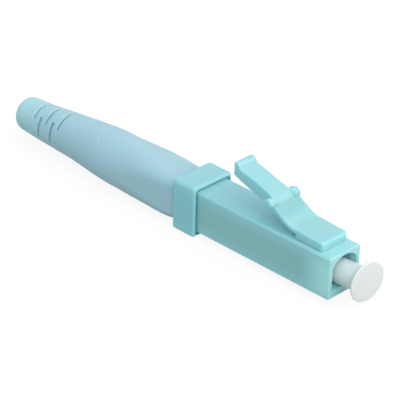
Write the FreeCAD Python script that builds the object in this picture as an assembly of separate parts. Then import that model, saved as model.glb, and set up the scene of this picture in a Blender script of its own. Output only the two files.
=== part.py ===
"""LC fibre connector: a field-installable multimode plug with a mechanical splice.

X runs along the fibre and points to the mating end, Z points to the latch.
The origin is the centre of the plug's front face, on the ferrule's axis.
A station is a distance behind the front face, so station 5 lies at X = -5.
"""
import FreeCAD
import Part
import math
import os

# ---- driving dimensions, mm ----
PLUG_WIDTH = 4.52          # square plug body, across its flats
PLUG_LENGTH = 18.2         # front face to the collar
COLLAR_WIDTH = 5.6         # collar behind the plug body, along Y
COLLAR_HEIGHT = 5.6        # and along Z
COLLAR_LENGTH = 3.2
OPENING_WIDTH = 3.6        # mating opening around the ferrule
FERRULE_DIA = 1.25
FERRULE_LENGTH = 6.4
FERRULE_PROUD = 1.9        # ferrule tip ahead of the front face
FIBRE_DIA = 0.125
FLOAT_TRAVEL = 1.0         # how far the ferrule is pushed back when two plugs mate
LATCH_WIDTH = 2.5          # finger tab
LATCH_ROOT_WIDTH = 3.7
LATCH_SPREAD = 4.5         # across the two locking shoulders
LATCH_RISE = 7.3           # rear end of the tab above the axis
LATCH_REACH = 14.2         # rear end of the tab behind the front face
SHOULDER_REAR = 9.3        # rear of the locking shoulders behind the front face
CAP_DISC_DIA = 4.6
CAP_REACH = 2.95           # front of the cap's disc ahead of the front face
CABLE_DIA = 2.0            # cord that the boot is moulded for
BOOT_LENGTH = 26.1
BOOT_WIDTH = 5.2           # squarish front end of the boot
BOOT_BODY_DIA = 5.98       # round middle of the boot
BOOT_TAIL_DIA = 3.76
BOOT_SHOULDER = 9.6        # collar to the start of the taper
WIRE_DIA = 0.3             # ferrule spring
SPRING_TURNS = 7           # turns that work, besides the closed end turns
STEPS_PER_TURN = 10

# ---- clearances and walls, mm ----
RUN = 0.04                 # radial running clearance
SEAT = 0.02                # radial clearance between pieces that are fixed together
THIN = 0.25                # wall of the small inner tubes
WALL = 0.45                # wall of the plug body
EDGE_R = 0.22              # moulded outer edges

# ---- stations and radii that follow from them, mm ----
FLOOR_DROP = PLUG_WIDTH / 2 - 0.85           # opening's floor below the axis
OPENING_TOP_R = PLUG_WIDTH / 2 - THIN        # round roof of the opening
WEB_FRONT = 5.4                              # web that the ferrule holder seats on
WEB_REAR = WEB_FRONT + 1.0
CHAMBER_R = PLUG_WIDTH / 2 - WALL
HOUSING_REAR = PLUG_LENGTH + COLLAR_LENGTH
LATCH_PIVOT = 5.1                            # bending line of the latch
LATCH_PIVOT_R = 0.55
LATCH_PIVOT_Z = PLUG_WIDTH / 2 + 0.87
FERRULE_REAR = FERRULE_LENGTH - FERRULE_PROUD
SPLICE_R = FERRULE_DIA / 2 + 0.11            # pair of splice halves
HOLDER_BORE_R = SPLICE_R + SEAT
HOLDER_R = HOLDER_BORE_R + THIN + 0.05
CAM_BORE_R = HOLDER_R + RUN
CAM_R = CAM_BORE_R + THIN
FLANGE_R = CHAMBER_R - RUN
NOSE_FRONT = 3.0
NOSE_R = HOLDER_R + 0.09
FLANGE_REAR = WEB_REAR + 0.9
SPLICE_FRONT = FERRULE_REAR + 0.3
SPLICE_REAR = SPLICE_FRONT + 9.0
KEEL_FRONT = FLANGE_REAR + 1.1
KEEL_REAR = SPLICE_REAR - 0.8
KEEL_HALF = 0.24
KEEL_LIFT = 0.08                             # play of the splice cover until the cam turns
RETAINER_FRONT = PLUG_LENGTH - 0.8
RETAINER_BORE_R = CAM_R + RUN
RETAINER_SEAT = PLUG_LENGTH + 1.2
RETAINER_REAR = HOUSING_REAR + 4.0
RETAINER_FLANGE_R = PLUG_WIDTH / 2 + 0.05
RETAINER_BARREL_R = RETAINER_BORE_R + 0.55
CAM_FRONT = FLANGE_REAR + 0.05
CAM_REAR = RETAINER_REAR + 2.0
GUIDE_FRONT = SPLICE_REAR + 0.05
GUIDE_COLLAR = GUIDE_FRONT + 0.6
CRIMP_FRONT = GUIDE_COLLAR + 0.15
HOLDER_REAR = CRIMP_FRONT + 4.4
CRIMP_R = HOLDER_BORE_R - SEAT
CRIMP_REAR = CAM_REAR + 3.6
GUIDE_R = CRIMP_R - 0.14
GUIDE_REAR = CRIMP_REAR + 0.4
BOOT_REAR = HOUSING_REAR + BOOT_LENGTH
BOOT_CAVITY_R = CAM_R + 0.2
CABLE_BORE_R = CABLE_DIA / 2 + 0.05
SLOT_WIDTH = 0.3
SLOT_PITCH = 1.03
SLOT_FIRST = BOOT_REAR - 3.4
SLOT_ROWS = 5
SLOT_FLOOR_R = CABLE_BORE_R + 0.25
SLOT_SPAN = 66.0           # degrees, each of the two slots of a row
SLOT_START = -4.0          # first slot of a row starts here, in degrees from the latch side
SLOT_TURN = 51.0           # degrees from one row to the next


def vec(x, y, z):
    """A point or direction."""
    return FreeCAD.Vector(x, y, z)


def box(x0, x1, y0, y1, z0, z1):
    """Box between two corners."""
    return Part.makeBox(x1 - x0, y1 - y0, z1 - z0, vec(x0, y0, z0))


def bar(front, rear, half_y, half_z):
    """Rectangular bar along the axis, between two stations."""
    return box(-rear, -front, -half_y, half_y, -half_z, half_z)


def rod(front, rear, radius):
    """Round bar along the axis, between two stations."""
    return Part.makeCylinder(radius, rear - front, vec(-rear, 0, 0), vec(1, 0, 0))


def tube(front, rear, outer, inner):
    """Round tube along the axis, between two stations."""
    return rod(front, rear, outer).cut(rod(front - 1, rear + 1, inner))


def turned(profile):
    """Solid of revolution about the axis from (station, radius) corners."""
    points = [vec(-s, 0, r) for s, r in profile]
    face = Part.Face(Part.makePolygon(points + points[:1]))
    return face.revolve(vec(0, 0, 0), vec(1, 0, 0), 360)


def square_wire(station, half_y, half_z, corner):
    """Rounded rectangle across the axis at a station."""
    y, z, c = half_y, half_z, corner
    k = c * (1 - math.sqrt(0.5))
    x = -station
    corners = [
        ((y, z - c), (y - k, z - k), (y - c, z)),
        ((-y + c, z), (-y + k, z - k), (-y, z - c)),
        ((-y, -z + c), (-y + k, -z + k), (-y + c, -z)),
        ((y - c, -z), (y - k, -z + k), (y, -z + c)),
    ]
    edges = []
    for i, (a, m, b) in enumerate(corners):
        edges.append(Part.Arc(vec(x, *a), vec(x, *m), vec(x, *b)).toShape())
        nxt = corners[(i + 1) % 4][0]
        edges.append(Part.makeLine(vec(x, *b), vec(x, *nxt)))
    return Part.Wire(edges)


def rounded_bar(front, rear, half_y, half_z, corner):
    """Bar with rounded long edges, between two stations."""
    face = Part.Face(square_wire(rear, half_y, half_z, corner))
    return face.extrude(vec(rear - front, 0, 0))


def prism_y(points, half_y):
    """Side profile of (station, height) corners, extruded across Y."""
    face = Part.Face(Part.makePolygon([vec(-s, -half_y, z) for s, z in points + points[:1]]))
    return face.extrude(vec(0, 2 * half_y, 0))


def end_edges(shape, x):
    """Edges that lie wholly in the plane at X = x."""
    return [e for e in shape.Edges
            if abs(e.BoundBox.XMin - x) < 1e-6 and abs(e.BoundBox.XMax - x) < 1e-6]


def housing():
    """Plug body, collar and latch root, one moulding that is open at both ends."""
    half = PLUG_WIDTH / 2
    body = rounded_bar(0, PLUG_LENGTH + 0.5, half, half, EDGE_R)
    body = body.makeChamfer(0.1, end_edges(body, 0))
    collar = rounded_bar(PLUG_LENGTH, HOUSING_REAR, COLLAR_WIDTH / 2, COLLAR_HEIGHT / 2, EDGE_R + 0.15)
    ends = end_edges(collar, -PLUG_LENGTH) + end_edges(collar, -HOUSING_REAR)
    collar = collar.makeChamfer(0.15, ends)
    shell = body.fuse(collar).fuse(latch_root())
    shell = shell.cut(opening())
    shell = shell.cut(rod(WEB_FRONT - 0.5, WEB_REAR + 0.5, NOSE_R + RUN))
    shell = shell.cut(rod(WEB_REAR, HOUSING_REAR + 1, CHAMBER_R))
    for y in (-1, 1):
        shell = shell.cut(key_groove(y))
    pocket = turned([
        (RETAINER_SEAT, 0), (RETAINER_SEAT, RETAINER_FLANGE_R + SEAT),
        (RETAINER_SEAT + 0.6, RETAINER_FLANGE_R + SEAT),
        (RETAINER_SEAT + 0.75, RETAINER_FLANGE_R + 0.15 + SEAT),
        (RETAINER_SEAT + 1.2, RETAINER_FLANGE_R + 0.15 + SEAT),
        (RETAINER_SEAT + 1.2, RETAINER_FLANGE_R + SEAT),
        (HOUSING_REAR + 1, RETAINER_FLANGE_R + SEAT), (HOUSING_REAR + 1, 0)])
    return shell.cut(pocket).removeSplitter()


def opening():
    """Mating opening: flat floor, upright sides, round roof."""
    half = OPENING_WIDTH / 2
    square = box(-WEB_FRONT, 1, -half, half, -FLOOR_DROP, 2 * half)
    lower = square.common(box(-WEB_FRONT, 1, -half, half, -FLOOR_DROP, 0))
    roof = square.common(rod(-1, WEB_FRONT, OPENING_TOP_R))
    lower = lower.makeFillet(0.2, [e for e in lower.Edges if low_long_edge(e, half)])
    return lower.fuse(roof).removeSplitter()


def low_long_edge(edge, half):
    """True for the two lower edges of the opening that run along it."""
    b = edge.BoundBox
    flat = abs(b.ZMin + FLOOR_DROP) < 1e-6 and abs(b.ZMax + FLOOR_DROP) < 1e-6
    return flat and b.XLength > 1 and abs(abs(b.YMin) - half) < 1e-6


def key_groove(side):
    """Groove in the chamber's wall that keeps the ferrule holder from turning."""
    reach = CHAMBER_R + 0.16
    y0, y1 = sorted((0.0, side * reach))
    return box(-FLANGE_REAR - FLOAT_TRAVEL - 0.3, -WEB_REAR, y0, y1, -0.29, 0.29)


def latch_root():
    """Root block of the latch on top of the plug, hollowed for the arm's round end."""
    top = PLUG_WIDTH / 2
    side = [
        (1.5, top - 0.2), (1.45, top + 0.75), (1.62, top + 1.08), (2.0, top + 1.22),
        (4.3, top + 1.27), (LATCH_PIVOT, LATCH_PIVOT_Z + LATCH_PIVOT_R - 0.01),
        (LATCH_PIVOT, top - 0.2)]
    block = prism_y(side, LATCH_ROOT_WIDTH / 2)
    return block.cut(pivot_barrel(LATCH_PIVOT_R + RUN / 2))


def pivot_barrel(radius):
    """Round bar across the latch's bending line."""
    return Part.makeCylinder(radius, 3 * LATCH_SPREAD,
                             vec(-LATCH_PIVOT, -1.5 * LATCH_SPREAD, LATCH_PIVOT_Z), vec(0, 1, 0))


def latch_arm():
    """Latch: spring arm with two locking shoulders and a turned-up finger tab."""
    p, k, s, rise = LATCH_PIVOT, SHOULDER_REAR, LATCH_REACH, LATCH_RISE
    side = [
        (p, LATCH_PIVOT_Z + LATCH_PIVOT_R), (p + 0.5, rise - 3.38), (p + 1.4, rise - 2.93),
        (k - 2.0, rise - 2.42), (k - 1.0, rise - 1.92), (k - 0.3, rise - 1.7),
        (k + 0.6, rise - 1.42), (k + 1.7, rise - 0.99), (s - 2.1, rise - 0.7),
        (s - 1.0, rise - 0.53), (s - 0.45, rise - 0.3), (s - 0.2, rise), (s, rise - 0.05),
        (s + 0.05, rise - 0.5), (s, rise - 1.4), (s - 0.95, rise - 1.76), (s - 1.9, rise - 2.1),
        (s - 2.6, rise - 2.4), (k + 1.4, rise - 2.6), (k + 0.6, rise - 2.78),
        (k - 0.4, rise - 3.05), (k - 1.4, rise - 3.45), (p + 1.9, rise - 3.85),
        (p + 1.0, rise - 4.25), (p + 0.5, rise - 4.55), (p, LATCH_PIVOT_Z - LATCH_PIVOT_R)]
    arm = prism_y(side, LATCH_SPREAD).fuse(pivot_barrel(LATCH_PIVOT_R))
    root, tab = LATCH_ROOT_WIDTH / 2, LATCH_WIDTH / 2
    plan = [(0, root), (p, root), (p + 1.1, root - 0.18), (k - 1.0, tab + 0.12), (k - 0.2, tab),
            (s + 1, tab)]
    arm = arm.common(plan_prism(plan))
    for side_sign in (-1, 1):
        arm = arm.fuse(shoulder(side_sign))
    return arm.removeSplitter()


def plan_prism(plan):
    """Upright prism from (station, half width) corners, the same on both sides."""
    right = [vec(-s, w, 0) for s, w in plan]
    left = [vec(-s, -w, 0) for s, w in reversed(plan)]
    face = Part.Face(Part.makePolygon(right + left + right[:1]))
    return face.extrude(vec(0, 0, 2 * LATCH_RISE))


def shoulder(side):
    """Locking shoulder on one flank of the latch arm."""
    half = LATCH_SPREAD / 2
    k, rise = SHOULDER_REAR, LATCH_RISE
    profile = [(k - 1.05, rise - 2.0), (k - 0.7, rise - 1.84), (k - 0.05, rise - 1.86),
               (k, rise - 2.1), (k - 0.35, rise - 2.62), (k - 1.0, rise - 2.62),
               (k - 1.3, rise - 2.4)]
    block = prism_y(profile, half)
    y0, y1 = sorted((side * (LATCH_WIDTH / 2 - 0.2), side * (half + 1)))
    return block.common(box(-LATCH_REACH, 0, y0, y1, 0, 2 * rise))


def ferrule():
    """Ceramic ferrule with a chamfered tip and the fibre's bore."""
    r = FERRULE_DIA / 2
    tip = -FERRULE_PROUD
    bore = FIBRE_DIA / 2
    return turned([(tip, bore), (tip, r - 0.17), (tip + 0.3, r), (FERRULE_REAR - 0.12, r),
                   (FERRULE_REAR, r - 0.12), (FERRULE_REAR, 0.3), (FERRULE_REAR - 0.5, bore)])


def fibre_stub():
    """Bare fibre from the polished ferrule tip to the middle of the splice."""
    return rod(-FERRULE_PROUD, (SPLICE_FRONT + SPLICE_REAR) / 2, FIBRE_DIA / 2)


def ferrule_holder():
    """Holder: nose that grips the ferrule, seating flange, and the splice chamber."""
    r = FERRULE_DIA / 2
    body = turned([
        (NOSE_FRONT, r), (NOSE_FRONT, NOSE_R - 0.2), (NOSE_FRONT + 0.3, NOSE_R),
        (WEB_REAR, NOSE_R), (WEB_REAR, FLANGE_R), (FLANGE_REAR - 0.15, FLANGE_R),
        (FLANGE_REAR, FLANGE_R - 0.15), (FLANGE_REAR, HOLDER_R), (HOLDER_REAR, HOLDER_R),
        (HOLDER_REAR, HOLDER_BORE_R), (SPLICE_FRONT, HOLDER_BORE_R), (SPLICE_FRONT, 0.45),
        (FERRULE_REAR, 0.45), (FERRULE_REAR, r)])
    for side in (-1, 1):
        y0, y1 = sorted((0.9 * FLANGE_R * side, (FLANGE_R + 0.1) * side))
        body = body.fuse(box(-FLANGE_REAR + 0.15, -WEB_REAR, y0, y1, -0.25, 0.25))
    window = box(-KEEL_REAR - 0.06, -KEEL_FRONT + 0.06, -KEEL_HALF - 0.03, KEEL_HALF + 0.03,
                 0, HOLDER_R + 1)
    return body.cut(window).removeSplitter()


def splice_base():
    """Lower splice half, with the V-groove that holds both fibre ends."""
    part_z = -0.02
    half = rod(SPLICE_FRONT, SPLICE_REAR, SPLICE_R)
    half = half.common(box(-SPLICE_REAR, -SPLICE_FRONT, -2, 2, -2, part_z))
    depth = FIBRE_DIA / 2 * math.sqrt(2)
    x = -SPLICE_REAR - 1
    groove = [vec(x, -depth - part_z, part_z), vec(x, 0, -depth), vec(x, depth + part_z, part_z)]
    face = Part.Face(Part.makePolygon(groove + groove[:1]))
    return half.cut(face.extrude(vec(SPLICE_REAR + 2, 0, 0))).cut(lead_in())


def splice_cover():
    """Upper splice half, drawn clamped, with the keel that the cam presses down."""
    gap = FIBRE_DIA / 2 + SEAT / 2
    half = rod(SPLICE_FRONT + 0.05, SPLICE_REAR - 0.05, SPLICE_R - SEAT)
    half = half.common(box(-SPLICE_REAR, -SPLICE_FRONT, -2, 2, gap, 2))
    top = HOLDER_R - SEAT / 2
    keel = box(-KEEL_REAR, -KEEL_FRONT, -KEEL_HALF, KEEL_HALF, gap + 0.1, top + 1)
    keel = keel.common(rod(KEEL_FRONT - 1, KEEL_REAR + 1, top))
    return half.fuse(keel).cut(lead_in()).removeSplitter()


def lead_in():
    """Cone that funnels the field fibre into the groove."""
    return turned([(SPLICE_REAR - 0.9, 0), (SPLICE_REAR + 0.01, 0.34), (SPLICE_REAR + 0.01, 0)])


def cam_sleeve():
    """Cam: a quarter turn closes the splice. Its rear end has two wrench flats."""
    sleeve = tube(CAM_FRONT, CAM_REAR, CAM_R, CAM_BORE_R)
    relief = Part.makeCylinder(CAM_BORE_R, KEEL_REAR - KEEL_FRONT + 0.6,
                               vec(-KEEL_REAR - 0.3, 0, KEEL_LIFT + 0.04), vec(1, 0, 0))
    sleeve = sleeve.cut(relief)
    for side in (-1, 1):
        z0, z1 = sorted((side * (CAM_R - 0.1), side * (CAM_R + 1)))
        sleeve = sleeve.cut(box(-CAM_REAR - 1, -CAM_REAR + 1.6, -3, 3, z0, z1))
    return sleeve.removeSplitter()


def ferrule_spring():
    """Coil spring that pushes the ferrule forward, with a closed turn at each end."""
    wire = min(WIRE_DIA / 2, (CHAMBER_R - CAM_R) / 2 - 0.02)
    coil_r = (CAM_R + CHAMBER_R) / 2
    first, last = FLANGE_REAR + wire, RETAINER_FRONT - wire
    free = last - first - 4 * wire
    wires = []
    for i in range(STEPS_PER_TURN * (SPRING_TURNS + 2) + 1):
        turn = i / STEPS_PER_TURN
        closed = min(turn, 1) + max(turn - SPRING_TURNS - 1, 0)
        opened = min(max(turn - 1, 0), SPRING_TURNS)
        station = first + closed * 2 * wire + opened * free / SPRING_TURNS
        wires.append(coil_section(station, 2 * math.pi * turn, coil_r, wire))
    return Part.makeLoft(wires, True, True)


def coil_section(station, angle, coil_r, wire):
    """Six-sided section of the spring's wire, across the coil at an angle."""
    points = []
    for k in range(6):
        a = math.pi / 3 * k
        r = coil_r + wire * math.cos(a)
        points.append(vec(-station - wire * math.sin(a), r * math.cos(angle), r * math.sin(angle)))
    return Part.makePolygon(points + points[:1])


def spring_retainer():
    """Rear body that snaps into the housing, backs the spring and carries the boot."""
    sleeve_r = CHAMBER_R - SEAT
    body = turned([
        (RETAINER_FRONT, RETAINER_BORE_R), (RETAINER_FRONT, sleeve_r), (RETAINER_SEAT, sleeve_r),
        (RETAINER_SEAT, RETAINER_FLANGE_R), (RETAINER_SEAT + 0.65, RETAINER_FLANGE_R),
        (RETAINER_SEAT + 0.78, RETAINER_FLANGE_R + 0.12),
        (RETAINER_SEAT + 1.2, RETAINER_FLANGE_R + 0.12),
        (RETAINER_SEAT + 1.2, RETAINER_FLANGE_R), (HOUSING_REAR, RETAINER_FLANGE_R),
        (HOUSING_REAR, RETAINER_BARREL_R), (RETAINER_REAR - 0.45, RETAINER_BARREL_R),
        (RETAINER_REAR, RETAINER_BARREL_R - 0.12), (RETAINER_REAR, RETAINER_BORE_R)])
    for i in range(2):
        s = HOUSING_REAR + 1.0 + 1.2 * i
        body = body.cut(tube(s, s + 0.35, RETAINER_BARREL_R + 1, RETAINER_BARREL_R - 0.12))
    return body.removeSplitter()


def crimp_tube():
    """Metal tube that is crimped on the field fibre's buffer."""
    inner = GUIDE_R + SEAT
    flange = CAM_REAR + 0.05
    return turned([
        (CRIMP_FRONT, inner), (CRIMP_FRONT, CRIMP_R), (flange, CRIMP_R), (flange, CAM_R - 0.1),
        (flange + 0.45, CAM_R - 0.1), (flange + 0.45, CRIMP_R), (CRIMP_REAR, CRIMP_R),
        (CRIMP_REAR, inner)])


def lead_in_tube():
    """Thin tube that guides the buffered fibre up to the splice."""
    bore = GUIDE_R - 0.12
    return turned([
        (GUIDE_FRONT, 0.34), (GUIDE_FRONT, HOLDER_BORE_R - SEAT),
        (GUIDE_COLLAR, HOLDER_BORE_R - SEAT), (GUIDE_COLLAR, GUIDE_R),
        (GUIDE_REAR, GUIDE_R), (GUIDE_REAR, bore + 0.06), (GUIDE_REAR - 0.3, bore),
        (GUIDE_FRONT + 0.4, bore)])


def dust_cap():
    """Soft cap: a tube that grips the ferrule, and a flat disc to pull it by."""
    bore = FERRULE_DIA / 2 + 0.02
    outer = bore + 0.64
    disc = CAP_DISC_DIA / 2
    front = -CAP_REACH
    back = front + 0.3
    return turned([
        (front, 0), (front, disc - 0.08), (front + 0.08, disc), (back - 0.08, disc),
        (back, disc - 0.08), (back, outer + 0.4), (back + 0.12, outer + 0.14),
        (back + 0.4, outer), (NOSE_FRONT - 1.15, outer), (NOSE_FRONT - 1.0, outer - 0.12),
        (NOSE_FRONT - 1.0, bore), (-FERRULE_PROUD - 0.25, bore), (-FERRULE_PROUD - 0.25, 0)])


def boot_front():
    """Squarish front of the boot: a drafted square bar, turned round towards the taper."""
    front, body = BOOT_WIDTH / 2 - 0.12, BOOT_BODY_DIA / 2
    shoulder = HOUSING_REAR + BOOT_SHOULDER
    wires = [square_wire(station, half, half, 0.46 * half)
             for station, half in ((HOUSING_REAR, front), (shoulder, body + 0.06))]
    bar_form = Part.makeLoft(wires, True, True)
    return bar_form.common(rod(HOUSING_REAR, shoulder, body))


def boot_skin():
    """Boot without its cavity: a squarish front, a round taper and a rounded tail end."""
    body, tail = BOOT_BODY_DIA / 2, BOOT_TAIL_DIA / 2
    start, end = HOUSING_REAR + BOOT_SHOULDER, BOOT_REAR - 0.95
    profile = [(start, 0), (start, body)]
    for along, left in ((0.15, 0.93), (0.3, 0.755), (0.44, 0.57), (0.565, 0.44)):
        profile.append((start + along * (BOOT_REAR - start), tail + left * (body - tail)))
    mouth = CABLE_BORE_R + 0.12
    drop = tail - mouth
    profile += [(end, tail + 0.05), (end + 0.6, mouth + 0.78 * drop),
                (BOOT_REAR, mouth + 0.2 * drop), (BOOT_REAR, 0)]
    return boot_front().fuse(turned(profile)).removeSplitter()


def boot():
    """Strain-relief boot: squarish at the collar, round and slotted at the tail."""
    barrel = RETAINER_BARREL_R + RUN
    inside = turned([
        (HOUSING_REAR - 1, 0), (HOUSING_REAR - 1, barrel), (RETAINER_REAR + 0.3, barrel),
        (RETAINER_REAR + 0.3, BOOT_CAVITY_R), (GUIDE_REAR + FLOAT_TRAVEL + 0.6, BOOT_CAVITY_R),
        (GUIDE_REAR + FLOAT_TRAVEL + 2.6, CABLE_BORE_R), (BOOT_REAR + 1, CABLE_BORE_R),
        (BOOT_REAR + 1, 0)])
    body = boot_skin().cut(inside)
    for row in range(SLOT_ROWS):
        body = body.cut(slot_row(SLOT_FIRST - SLOT_PITCH * row, SLOT_TURN * (row % 2)))
    return body


def slot_row(station, turn):
    """Two slots that face each other across the boot and let its tail bend."""
    ring = tube(station - SLOT_WIDTH / 2, station + SLOT_WIDTH / 2, 4.0, SLOT_FLOOR_R)
    keep = None
    for k in range(2):
        wedge = Part.makeCylinder(5.0, SLOT_WIDTH + 0.2, vec(-station - SLOT_WIDTH / 2 - 0.1, 0, 0),
                                  vec(1, 0, 0), SLOT_SPAN)
        wedge.rotate(vec(0, 0, 0), vec(1, 0, 0), turn + 180.0 * k + SLOT_START)
        keep = wedge if keep is None else keep.fuse(wedge)
    return ring.common(keep)


PIECES = {
    "housing": housing,
    "latch_arm": latch_arm,
    "ferrule": ferrule,
    "fibre_stub": fibre_stub,
    "ferrule_holder": ferrule_holder,
    "splice_base": splice_base,
    "splice_cover": splice_cover,
    "cam_sleeve": cam_sleeve,
    "ferrule_spring": ferrule_spring,
    "spring_retainer": spring_retainer,
    "crimp_tube": crimp_tube,
    "lead_in_tube": lead_in_tube,
    "dust_cap": dust_cap,
    "boot": boot,
}


def main():
    """Build every piece and write its STEP file."""
    os.makedirs("parts", exist_ok=True)
    for name, build in PIECES.items():
        shape = build()
        if shape.ShapeType == "Compound" and len(shape.Solids) == 1:
            shape = shape.Solids[0]
        shape.exportStep(os.path.join("parts", name + ".step"))
        b = shape.BoundBox
        print("%-16s solids %d valid %s X %.2f..%.2f Y %.2f..%.2f Z %.2f..%.2f vol %.3f" % (
            name, len(shape.Solids), shape.isValid(), b.XMin, b.XMax, b.YMin, b.YMax,
            b.ZMin, b.ZMax, shape.Volume))


main()
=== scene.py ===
"""Looks of the LC fibre connector: skins, finishes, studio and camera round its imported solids.

Sizes are in millimetres until a mesh is made. X runs along the fibre to the mating end and Z
points to the latch. A station is a distance behind the plug's front face, so X = -station.
"""

import logging
import math
from dataclasses import dataclass, field
from enum import Enum
from typing import Protocol

import bmesh
import bpy
import numpy as np
from mathutils import Matrix, Vector


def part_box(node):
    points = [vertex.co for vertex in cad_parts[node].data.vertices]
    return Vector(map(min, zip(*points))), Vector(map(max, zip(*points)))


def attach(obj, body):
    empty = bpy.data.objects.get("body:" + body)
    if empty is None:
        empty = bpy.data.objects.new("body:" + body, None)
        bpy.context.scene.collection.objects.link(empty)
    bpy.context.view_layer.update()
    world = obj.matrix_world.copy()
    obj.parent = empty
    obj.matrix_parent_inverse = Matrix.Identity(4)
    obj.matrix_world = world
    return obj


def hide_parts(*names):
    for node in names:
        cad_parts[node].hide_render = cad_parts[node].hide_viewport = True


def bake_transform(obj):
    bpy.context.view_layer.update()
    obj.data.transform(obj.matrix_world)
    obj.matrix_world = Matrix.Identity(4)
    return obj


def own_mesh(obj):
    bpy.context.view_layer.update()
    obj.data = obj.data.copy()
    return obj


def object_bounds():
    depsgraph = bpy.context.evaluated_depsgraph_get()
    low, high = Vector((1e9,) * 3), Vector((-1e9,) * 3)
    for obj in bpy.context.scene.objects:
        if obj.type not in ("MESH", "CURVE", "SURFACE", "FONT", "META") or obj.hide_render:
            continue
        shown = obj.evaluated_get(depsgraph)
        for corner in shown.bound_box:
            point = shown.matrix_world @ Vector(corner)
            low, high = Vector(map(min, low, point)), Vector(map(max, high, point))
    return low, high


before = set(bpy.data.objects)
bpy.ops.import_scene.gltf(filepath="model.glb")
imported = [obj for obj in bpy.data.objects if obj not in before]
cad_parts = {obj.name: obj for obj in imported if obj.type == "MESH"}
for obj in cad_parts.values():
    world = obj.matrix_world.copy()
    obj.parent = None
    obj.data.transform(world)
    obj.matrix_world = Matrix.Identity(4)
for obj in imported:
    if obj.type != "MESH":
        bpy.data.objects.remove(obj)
CAD_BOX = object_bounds()

LOG = logging.getLogger("lc_connector")
MM = 0.001
ROUND = np.radians([0.0, 14.0, 30.0, 45.0, 60.0, 76.0, 90.0])   # steps of a moulded round
SETTLE = 0.04                                                    # ring beside a round, mm
SHARPEST = 0.02                                                  # least round of an edge, mm
WELD = 1e-7                                                      # points this near are one, m


class Grain(Enum):
    """Texture that a mould or a die leaves on a surface: bump depth as a share of the grain."""
    POLISHED = 0.004
    SATIN = 0.012
    MATTE = 0.03


# ---- surfaces ----

def around(count: int) -> np.ndarray:
    """Angles that go once round the axis, from +Y towards +Z, in radians."""
    return np.linspace(0.0, 2.0 * math.pi, count, endpoint=False)


def rounded(angles: np.ndarray, half_y: float, half_z: float | np.ndarray,
            corner: float | np.ndarray) -> np.ndarray:
    """Radius of a rounded rectangle at each angle.

    Along a flat the radius is the smaller of half_y / |cos| and half_z / |sin|. Past the flat it
    is the far crossing with the corner's circle, b + sqrt(b^2 - ky^2 - kz^2 + corner^2), where
    (ky, kz) is the circle's centre and b = ky |cos| + kz |sin|.

    Args:
        angles: Angles round the axis.
        half_y: Half the width.
        half_z: Height of the top or underside above or below the axis, at each angle or for all.
        corner: Radius of the corners, at each angle or for all.

    Returns:
        One radius for each angle.
    """
    c, s = np.abs(np.cos(angles)), np.abs(np.sin(angles))
    ky, kz = half_y - corner, half_z - corner
    flat = np.minimum(half_y / np.maximum(c, 1e-9), half_z / np.maximum(s, 1e-9))
    b = ky * c + kz * s
    bent = b + np.sqrt(np.maximum(b ** 2 - ky ** 2 - kz ** 2 + corner ** 2, 0.0))
    return np.where((flat * c > ky) & (flat * s > kz), bent, flat)


def convex(angles: np.ndarray, normals: np.ndarray, gaps: np.ndarray, power: float) -> np.ndarray:
    """Radius of a convex outline given by straight sides, with its corners blended.

    A side at distance g with its normal at n is met at g / cos(angle - n). The radius is the
    power mean (sum of (cos / g)^power)^(-1 / power), which rounds the corners off.

    Args:
        angles: Angles round the centre.
        normals: Direction of each side's normal, in radians.
        gaps: Distance of each side from the centre.
        power: How sharp the corners are.

    Returns:
        One radius for each angle.
    """
    reach = np.maximum(np.cos(angles[:, None] - normals[None, :]), 0.0) / gaps[None, :]
    return (reach ** power).sum(axis=1) ** (-1.0 / power)


def mixed(a: np.ndarray, b: np.ndarray, share: float) -> np.ndarray:
    """Outline a moved a share of the way to outline b."""
    return a + (b - a) * share


def smooth(at: np.ndarray, knots: tuple[tuple[float, float], ...]) -> np.ndarray:
    """Smooth curve through knots.

    Between two knots it is the cubic with the knots' values and slopes, and a knot's slope is
    that of the line between its neighbours.

    Args:
        at: Places where the curve is wanted.
        knots: Pairs of place and value, in rising order.

    Returns:
        The curve's values.
    """
    x, y = np.array(knots).T
    slope = np.gradient(y, x)
    i = np.clip(np.searchsorted(x, at) - 1, 0, len(x) - 2)
    h = x[i + 1] - x[i]
    t = np.clip((at - x[i]) / h, 0.0, 1.0)
    return ((2 * t ** 3 - 3 * t ** 2 + 1) * y[i] + (t ** 3 - 2 * t ** 2 + t) * h * slope[i]
            + (3 * t ** 2 - 2 * t ** 3) * y[i + 1] + (t ** 3 - t ** 2) * h * slope[i + 1])


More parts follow.
